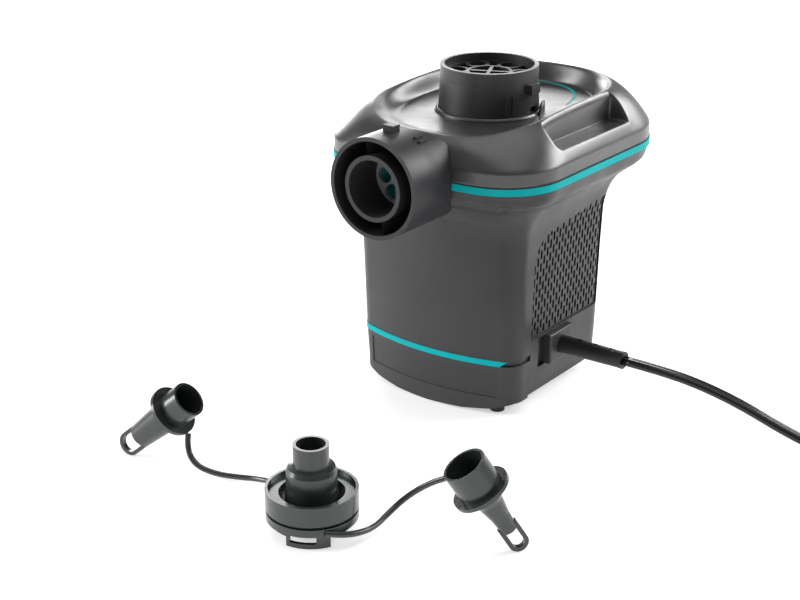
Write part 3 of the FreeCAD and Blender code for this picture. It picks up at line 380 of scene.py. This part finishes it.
def end_corner(ring, side):
    """Corner arc and bowed end at the front (-1) or back (1), and the angle at which they meet."""
    half, front, back, front_radius, back_radius, front_bow, back_bow = ring
    end, radius, bow = (front, front_radius, front_bow) if side < 0 else (back, back_radius, back_bow)
    end_r = (half * half + bow * bow) / (2 * bow)
    end_y = end - side * end_r
    cx = half - radius
    cy = end_y + side * math.sqrt((end_r - radius) ** 2 - cx * cx)
    leave = math.atan2(cy - end_y, cx)
    return cx, cy, radius, end_y, end_r, leave


def end_and_corner(ring, side, stop_y, end_steps, corner_steps):
    """Points from the middle of one end to stop_y, on the straight side or still on the corner."""
    cx, cy, radius, end_y, end_r, leave = end_corner(ring, side)
    middle = side * math.pi / 2
    points = []
    for i in range(end_steps):
        angle = middle + (leave - middle) * i / end_steps
        points.append((end_r * math.cos(angle), end_y + end_r * math.sin(angle)))
    past_arc = side * (cy - stop_y)
    stop_angle = math.asin(-side * past_arc / radius) if past_arc < 0 else 0.0
    arc = abs(leave - stop_angle) * radius
    length = arc + max(0.0, past_arc)
    for i in range(corner_steps):
        gone = length * i / corner_steps
        if gone <= arc:
            angle = leave - side * gone / radius
            points.append((cx + radius * math.cos(angle), cy + radius * math.sin(angle)))
        else:
            points.append((ring[0], cy - side * (gone - arc)))
    return points


def side_x(ring, y):
    """Half width of a ring at y, along its side and a little way round its corners."""
    for side in (-1, 1):
        cx, cy, radius = end_corner(ring, side)[:3]
        if side * (y - cy) > 0:
            return cx + math.sqrt(radius * radius - (y - cy) ** 2)
    return ring[0]


def side_places():
    """The y places along the side, close together at both ends of the finger pocket."""
    front = [POCKET_FRONT + d for d in POCKET_CLOSE]
    back = [POCKET_BACK - d for d in reversed(POCKET_CLOSE)]
    gap = back[0] - front[-1]
    between = [front[-1] + gap * (i + 1) / (POCKET_BETWEEN + 1) for i in range(POCKET_BETWEEN)]
    return front + between + back


def ring_points(ring):
    """Half outline of a ring, from the middle of the front to the middle of the back."""
    ys = side_places()
    front = end_and_corner(ring, -1, ys[0], *FRONT_STEPS)
    back = end_and_corner(ring, 1, ys[-1], *BACK_STEPS)
    middle_back = (0.0, ring[2])
    return front + [(side_x(ring, y), y) for y in ys] + back[:0:-1] + [middle_back]


def smooth_step(low, high, x):
    """0 at low and 1 at high, with a soft start and end; low may be the larger."""
    t = max(0.0, min(1.0, (x - low) / (high - low)))
    return t * t * (3 - 2 * t)


def in_pocket(y):
    """0 outside the finger pocket, 1 inside it."""
    past_front = smooth_step(POCKET_FRONT - FADE_FRONT, POCKET_FRONT + FADE_FRONT, y)
    before_back = smooth_step(POCKET_BACK + FADE_BACK_OUT, POCKET_BACK - FADE_BACK_IN, y)
    return past_front * before_back


def cut_corners(points, rounds):
    """Points of a line with its corners cut again and again, and both ends kept."""
    for _ in range(rounds):
        cut = [points[0]]
        for a, b in zip(points, points[1:]):
            cut += [mix(a, b, 0.25), mix(a, b, 0.75)]
        cut[1] = points[0]
        cut[-1] = points[-1]
        points = cut[1:]
    return points


def dish_foot(crest):
    """Point of the dish floor's oval edge that belongs to a point of the crest."""
    angle = math.atan2((crest[1] - DISH_CENTRE) / DISH_LONG, crest[0] / DISH_HALF)
    return DISH_HALF * math.cos(angle), DISH_CENTRE + DISH_LONG * math.sin(angle)


def slope_height(t, top):
    """Height of the bulging slope at a part t of the way from the shoulder to the crest."""
    return SHOULDER_Z + (top - SHOULDER_Z) * t * (1 + SLOPE_BULGE * (1 - t))


def slope_part(z, top):
    """The part of the way at which the slope reaches a height."""
    low, high = 0.0, 1.0
    for _ in range(20):
        middle = (low + high) / 2
        low, high = (middle, high) if slope_height(middle, top) < z else (low, middle)
    return low


def cover_slope(side, crest, top):
    """Points above the shoulder, with the finger pocket where the column crosses it."""
    def on_slope(t):
        return (*mix(side, crest, t), slope_height(t, top))

    slope = [on_slope(t) for t in SLOPE_STEPS]
    x, y = side
    pocket = in_pocket(y) if x > POCKET_REACH else 0.0
    if not pocket:
        return slope
    brim = slope_part(POCKET_FLOOR - BRIM_BELOW, top)
    brim_x = on_slope(brim)[0]
    shelf = [on_slope(brim * 0.5), on_slope(brim)]
    shelf += [(brim_x - BRIM_ROUND, y, POCKET_FLOOR), (POCKET_WALL + FOOT_ACROSS, y, POCKET_FLOOR)]
    shelf += [(POCKET_WALL, y, POCKET_FLOOR + FOOT_UP)]
    shelf += [(POCKET_WALL - inwards, y, top - below) for inwards, below in WALL_TOP]
    return [mix(a, b, pocket) for a, b in zip(slope, shelf)]


def floor_and_lip(reach):
    """Radius and height from the floor's edge, at reach, over the lip and down into the hole."""
    floor = [(reach + (LIP_R - reach) * t, FLOOR_Z) for t in DISH_STEPS]
    lip = [(LIP_R - inside, FLOOR_Z + up) for inside, up in LIP_SECTION]
    hole = [(HOLE_R, FLOOR_Z + LIP_HIGH), (HOLE_R, FLOOR_Z - HOLE_DEPTH)]
    return floor + lip + hole


def cover_profile(side, crest):
    """Section of the cover at one column, from its lower edge over the crest to the hole in the dish."""
    top = along_table(CREST_HEIGHTS, crest[1])
    foot = dish_foot(crest)
    points = [(*side, height) for height in WALL_HEIGHTS]
    points += cover_slope(side, crest, top)
    points += [(*mix(crest, foot, across), top + (FLOOR_Z - top) * down) for across, down in DISH_WALL]
    reach = math.hypot(*foot)
    way = (foot[0] / reach, foot[1] / reach)
    points += [(way[0] * r, way[1] * r, z) for r, z in floor_and_lip(reach)]
    return cut_corners(points, 2)


def skin(name, columns, material, closed):
    """Mesh over columns of points; closed joins the last column to the first."""
    shape = bmesh.new()
    rows = [[shape.verts.new(Vector(p) * MM) for p in column] for column in columns]
    pairs = list(zip(rows, rows[1:])) + ([(rows[-1], rows[0])] if closed else [])
    for a, b in pairs:
        for k in range(len(a) - 1):
            shape.faces.new((a[k], b[k], b[k + 1], a[k + 1]))
    bmesh.ops.remove_doubles(shape, verts=shape.verts, dist=1e-6)
    bmesh.ops.recalc_face_normals(shape, faces=shape.faces)
    return finish_shape(name, shape, material)


def finish_shape(name, shape, material):
    """Smooth-shaded object made from a bmesh, which is freed."""
    mesh = bpy.data.meshes.new(name)
    shape.to_mesh(mesh)
    shape.free()
    for polygon in mesh.polygons:
        polygon.use_smooth = True
    mesh.materials.append(material)
    obj = bpy.data.objects.new(name, mesh)
    bpy.context.scene.collection.objects.link(obj)
    return obj


def in_tube_gap(face):
    """Whether a face of the cover lies in the way of the inflate port's tube."""
    centre = face.calc_center_median()
    from_axis = math.hypot(centre.x, centre.z - PORT_Z * MM)
    return centre.y < TUBE_GAP_Y * MM and from_axis < TUBE_GAP_R * MM


def cut_tube_gap(cover):
    """Opens the cover's front wall where the inflate port's tube passes."""
    shape = bmesh.new()
    shape.from_mesh(cover.data)
    bmesh.ops.delete(shape, geom=[face for face in shape.faces if in_tube_gap(face)], context="FACES")
    shape.to_mesh(cover.data)
    shape.free()


def add_cover(materials):
    """The cover's skin: shoulder, crest, dish and finger pockets in one smooth shell."""
    rings = zip(ring_points(SIDE_RING), ring_points(CREST_RING))
    half = [cover_profile(side, crest) for side, crest in rings]
    mirrored = [[(-x, y, z) for x, y, z in column] for column in half[-2:0:-1]]
    cover = skin("cover_shell", half + mirrored, materials["cover_plastic"], True)
    cut_tube_gap(cover)
    shell = cover.modifiers.new("wall", "SOLIDIFY")
    shell.thickness = COVER_WALL * MM
    shell.offset = -1.0
    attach(cover, "pump")
    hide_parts("top_cover")


# x and y along the line printed in the dish, and its greatest width
PRINT_LINE = [
    (-14.0, 54.2),
    (-6.0, 55.0),
    (2.6, 54.2),
    (11.0, 50.2),
    (17.8, 42.6),
    (22.0, 33.0),
    (23.4, 25.0),
]
PRINT_WIDTH = 1.4
# the tips' share of that width, and how far the line stands off the floor
PRINT_TIP = 0.25
PRINT_LIFT = 0.03


def add_print_line(materials):
    """Thin curved line printed on the dish floor, tapered at both ends."""
    line = centreline("print_path", metres([(x, y, FLOOR_Z + PRINT_LIFT) for x, y in PRINT_LINE]))
    edges = ([], [])
    for i, place in enumerate(line):
        ahead = (line[min(i + 1, len(line) - 1)] - line[max(i - 1, 0)]).normalized()
        across = ahead.cross(UP)
        part = i / (len(line) - 1)
        share = PRINT_TIP + (1 - PRINT_TIP) * math.sqrt(math.sin(math.pi * part))
        half = PRINT_WIDTH * MM / 2 * share
        for edge, side in zip(edges, (-1, 1)):
            edge.append((place + across * side * half) / MM)
    strip = skin("printed_line", edges, materials["teal_trim"], False)
    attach(strip, "pump")


# the tab beside the deflate port; its angles are degrees round the port from +X
HOOP_R = 23.3
HOOP_THICK = 0.8
HOOP_ANGLES = (8.0, 29.0)
HOOP_HIGH = 5.6
# its rounding, how far it reaches into the floor, and how square its ends are
HOOP_ROUND = 0.2
HOOP_SUNK = 0.3
HOOP_SQUARENESS = 3.5
HOOP_STEPS = 16


def add_latch_hoop(materials):
    """Curved tab that stands on the dish floor, with its top edge rounded down at both ends."""
    columns = []
    outer = HOOP_R + HOOP_THICK
    foot = FLOOR_Z - HOOP_SUNK
    for i in range(HOOP_STEPS + 1):
        part = i / HOOP_STEPS
        angle = math.radians(HOOP_ANGLES[0] + (HOOP_ANGLES[1] - HOOP_ANGLES[0]) * part)
        top = FLOOR_Z + HOOP_HIGH * (1 - abs(2 * part - 1) ** HOOP_SQUARENESS)
        section = [(outer, foot), (outer, top - HOOP_ROUND), (HOOP_R + HOOP_THICK * 0.5, top)]
        section += [(HOOP_R, top - HOOP_ROUND), (HOOP_R, foot)]
        columns.append([(r * math.cos(angle), r * math.sin(angle), z) for r, z in section])
    hoop = skin("latch_hoop", columns, materials["cover_plastic"], False)
    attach(hoop, "pump")


# the coloured sleeve: outer radius, its ends in y, and its wall at those ends
LINING_R = 12.4
LINING_BACK, LINING_FRONT = -46.0, -61.4
LINING_WALL_BACK, LINING_WALL_FRONT = 2.4, 1.2
LINING_TURNS = 40


def add_bore_lining(materials):
    """Coloured sleeve just behind the inflate port's star guard."""
    columns = []
    for i in range(LINING_TURNS):
        angle = math.tau * i / LINING_TURNS
        across, up = math.cos(angle), math.sin(angle)
        section = [(LINING_R, LINING_BACK), (LINING_R, LINING_FRONT)]
        section += [(LINING_R - LINING_WALL_FRONT, LINING_FRONT)]
        section += [(LINING_R - LINING_WALL_BACK, LINING_BACK)]
        columns.append([(r * across, y, PORT_Z + r * up) for r, y in section])
    lining = skin("bore_lining", columns, materials["teal_impeller"], True)
    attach(lining, "pump")


# ---------------------------------------------------------------- cords
def spline_curve(name, points, radius, material):
    """Open NURBS curve steered by its control points, round in section."""
    curve = bpy.data.curves.new(name, "CURVE")
    curve.dimensions = "3D"
    curve.resolution_u = 8
    curve.bevel_depth = radius
    curve.bevel_resolution = 6
    curve.use_fill_caps = True
    spline = curve.splines.new("NURBS")
    spline.points.add(len(points) - 1)
    for point, place in zip(spline.points, points):
        point.co = (*place, 1.0)
    spline.order_u = 3
    spline.use_endpoint_u = True
    if material:
        curve.materials.append(material)
    obj = bpy.data.objects.new(name, curve)
    bpy.context.scene.collection.objects.link(obj)
    return obj


def metres(points):
    """Points in millimetres turned into metres."""
    return [tuple(c * MM for c in p) for p in points]


def centreline(name, points):
    """Points along the smooth line of a route, from a bare curve that is thrown away."""
    bare = spline_curve(name, points, 0.0, None)
    bpy.context.view_layer.update()
    mesh = bpy.data.meshes.new_from_object(bare.evaluated_get(bpy.context.evaluated_depsgraph_get()))
    line = [v.co.copy() for v in mesh.vertices]
    bpy.data.objects.remove(bare)
    bpy.data.meshes.remove(mesh)
    return line


# points either side of the middle of each conductor's outer half, and degrees between them
CORE_POINTS = 5
CORE_STEP = 24.0


def twin_profile(width, thick):
    """Outline of two round conductors side by side, joined by a narrow waist."""
    core = thick / 2
    reach = width / 2 - core
    points = []
    for side in (1, -1):
        for i in range(-CORE_POINTS, CORE_POINTS + 1):
            angle = math.radians(CORE_STEP * i)
            points.append((side * (reach + core * math.cos(angle)), side * core * math.sin(angle)))
    return points


def sweep(name, line, outline, material):
    """Mesh tube of a flat outline along a line; the outline's width stays level."""
    shape = bmesh.new()
    rows = []
    for i, place in enumerate(line):
        ahead = (line[min(i + 1, len(line) - 1)] - line[max(i - 1, 0)]).normalized()
        across = ahead.cross(UP).normalized()
        lift = across.cross(ahead)
        rows.append([shape.verts.new(place + across * u + lift * v) for u, v in outline])
    count = len(outline)
    for a, b in zip(rows, rows[1:]):
        for k in range(count):
            shape.faces.new((a[k], a[(k + 1) % count], b[(k + 1) % count], b[k]))
    shape.faces.new(rows[0][::-1])
    shape.faces.new(rows[-1])
    bmesh.ops.recalc_face_normals(shape, faces=shape.faces)
    return finish_shape(name, shape, material)


CORD_WIDTH = 5.4 * MM
CORD_THICK = 3.4 * MM
# the coil: its middle, its widest turn's radius, its lowest row's height, and turn to turn and row to row
COIL_CENTRE = (184.0, 48.0)
COIL_OUTER_TURN = 37.8
COIL_LOWEST = 2.8
TURN_PITCH = 5.4
ROW_PITCH = 5.45
ROWS = 4
TURNS_PER_ROW = 2
STEPS_PER_TURN = 18
# degrees round the coil at which the cord comes in
ENTRY_ANGLE = -78.0
# part of a turn in which the cord climbs onto the row above
CLIMB = 0.14
# what each of the two points after the last turn adds: angle, radius, and how far down
LEAVE_TURN, LEAVE_OUT, LEAVE_DOWN = 24.0, 2.2, 2.6
CORD_ROUTE = [
    (74.0, -4.0, 24.2), (91.0, -4.1, 24.3), (109.0, -4.0, 23.0), (128.0, -3.0, 18.6),
    (146.0, 0.2, 10.8), (163.5, 4.6, 4.4), (180.5, 8.4, 2.8),
]
PLUG_ROUTE = [(227.4, 32.0, 9.6), (229.8, 40.0, 7.8), (231.0, 47.0, 7.5), (231.0, 54.5, 7.5)]


def round_coil(degrees, radius, height):
    """Point at an angle and radius round the coil's centre."""
    angle = math.radians(degrees)
    return (COIL_CENTRE[0] + radius * math.cos(angle), COIL_CENTRE[1] + radius * math.sin(angle), height)


def coil_point(turn):
    """Point of the coil after so many turns: each row winds in or out, and the next lies on it."""
    row = min(int(turn / TURNS_PER_ROW), ROWS - 1)
    part = turn - row * TURNS_PER_ROW
    left = TURNS_PER_ROW - part
    inward = part if row % 2 == 0 else left
    height = COIL_LOWEST + ROW_PITCH * row
    if part < CLIMB and row:
        height -= ROW_PITCH * (0.5 - part / CLIMB / 2)
    if left < CLIMB and row < ROWS - 1:
        height += ROW_PITCH * (0.5 - left / CLIMB / 2)
    return round_coil(ENTRY_ANGLE + 360.0 * turn, COIL_OUTER_TURN - TURN_PITCH * inward, height)


def cord_points():
    """The whole route: out of the relief, down to the floor, round the coil, and to the plug."""
    count = ROWS * TURNS_PER_ROW * STEPS_PER_TURN
    turns = [coil_point(i / STEPS_PER_TURN) for i in range(count + 1)]
    top_row = COIL_LOWEST + ROW_PITCH * (ROWS - 1)
    way_down = [round_coil(ENTRY_ANGLE + LEAVE_TURN * step, COIL_OUTER_TURN + LEAVE_OUT * step,
                           top_row - LEAVE_DOWN * step) for step in (1, 2)]
    return metres(CORD_ROUTE + turns + way_down + PLUG_ROUTE)


def add_power_cord(materials):
    """Flat twin flex with its coil; the plug stays as the CAD has it."""
    points = cord_points()
    line = centreline("flex_line", points)
    flex = sweep("power_flex", line, twin_profile(CORD_WIDTH, CORD_THICK), materials["cord_sheath"])
    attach(flex, "pump")
    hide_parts("power_cord", "cord_coil")


TETHER_R = 1.2 * MM
LEFT_TETHER = [
    (-39.0, -151.6, 15.2), (-38.6, -153.4, 9.8), (-33.5, -154.6, 4.2),
    (-25.5, -152.3, 1.9), (-17.0, -148.8, 1.6), (-8.0, -146.4, 2.6),
    (1.5, -147.6, 4.8), (8.6, -151.0, 6.4), (14.6, -154.6, 7.0),
]
RIGHT_TETHER = [
    (45.2, -169.4, 7.0), (49.2, -165.2, 5.8), (51.8, -158.0, 4.2), (52.4, -149.6, 3.2),
    (52.0, -141.2, 4.6), (54.2, -134.0, 8.6), (59.6, -129.6, 13.6), (67.0, -127.6, 18.4),
    (75.2, -128.4, 22.6), (82.6, -130.0, 25.8),
]


def add_tether(name, node, points, materials):
    """Strap between the tether ring and a nozzle, in place of its CAD node."""
    points = metres(points)
    tether = spline_curve(name, points, TETHER_R, materials["nozzle_plastic"])
    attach(tether, "nozzle_set")
    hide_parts(node)


# ---------------------------------------------------------------- studio
WHITE = (1.0, 1.0, 1.0, 1.0)
FLOOR_REACH = 60.0
FLOOR_GLOW = 0.5
WORLD_GLOW = 0.25
LIGHT_AIM = (0.0, 0.0, 0.1)
# name, place, size and power in watts
LIGHTS = [
    ("overhead", (0.0, 0.1, 1.5), (1.6, 1.2), 8.0),
    ("left_front", (-1.2, -0.9, 0.5), (0.7, 0.8), 19.0),
    ("back_right", (0.62, 1.05, 0.64), (1.1, 0.45), 16.0),
    ("back_left", (-0.82, 1.04, 0.62), (0.9, 0.45), 7.5),
    ("low_left", (-1.2, 0.9, 0.26), (0.6, 0.3), 8.0),
]


def area_light(name, place, size, power):
    """Soft rectangular light that faces the pump."""
    light = bpy.data.lights.new(name, "AREA")
    light.shape = "RECTANGLE"
    light.size, light.size_y = size
    light.energy = power
    obj = bpy.data.objects.new(name, light)
    obj.location = place
    direction = Vector(LIGHT_AIM) - Vector(place)
    obj.rotation_euler = direction.to_track_quat("-Z", "Y").to_euler()
    bpy.context.scene.collection.objects.link(obj)


def add_floor():
    """Wide white floor that glows a little, so that it stays white round a dark object."""
    material, tree, shader = new_material("paper")
    tint = ramp(tree, noise(tree, 6.0), [(0.3, (0.86, 0.86, 0.86)), (0.7, (0.89, 0.89, 0.89))])
    tree.links.new(tint, shader.inputs["Base Color"])
    shader.inputs["Roughness"].default_value = 0.9
    shader.inputs["Emission Color"].default_value = WHITE
    shader.inputs["Emission Strength"].default_value = FLOOR_GLOW
    mesh = bpy.data.meshes.new("floor")
    corners = [(x * FLOOR_REACH, y * FLOOR_REACH, 0) for x, y in ((-1, -1), (1, -1), (1, 1), (-1, 1))]
    mesh.from_pydata(corners, [], [(0, 1, 2, 3)])
    mesh.materials.append(material)
    floor = bpy.data.objects.new("floor", mesh)
    bpy.context.scene.collection.objects.link(floor)


def add_studio():
    """Even white surroundings, the lights and the floor."""
    world = bpy.data.worlds.new("studio")
    world.use_nodes = True
    background = world.node_tree.nodes["Background"]
    background.inputs["Color"].default_value = WHITE
    background.inputs["Strength"].default_value = WORLD_GLOW
    scene = bpy.context.scene
    scene.world = world
    scene.view_settings.view_transform = "Standard"
    for name, place, size, power in LIGHTS:
        area_light(name, place, size, power)
    add_floor()


# ---------------------------------------------------------------- build
def build():
    """The camera, the CAD nodes' looks, the pieces that replace or join them, and the studio."""
    materials = make_materials()
    add_camera()
    dress_nodes(materials)
    add_cover(materials)
    add_print_line(materials)
    add_latch_hoop(materials)
    add_bore_lining(materials)
    add_power_cord(materials)
    add_tether("wide_nozzle_tether", "left_tether", LEFT_TETHER, materials)
    add_tether("narrow_nozzle_tether", "right_tether", RIGHT_TETHER, materials)
    add_studio()


build()
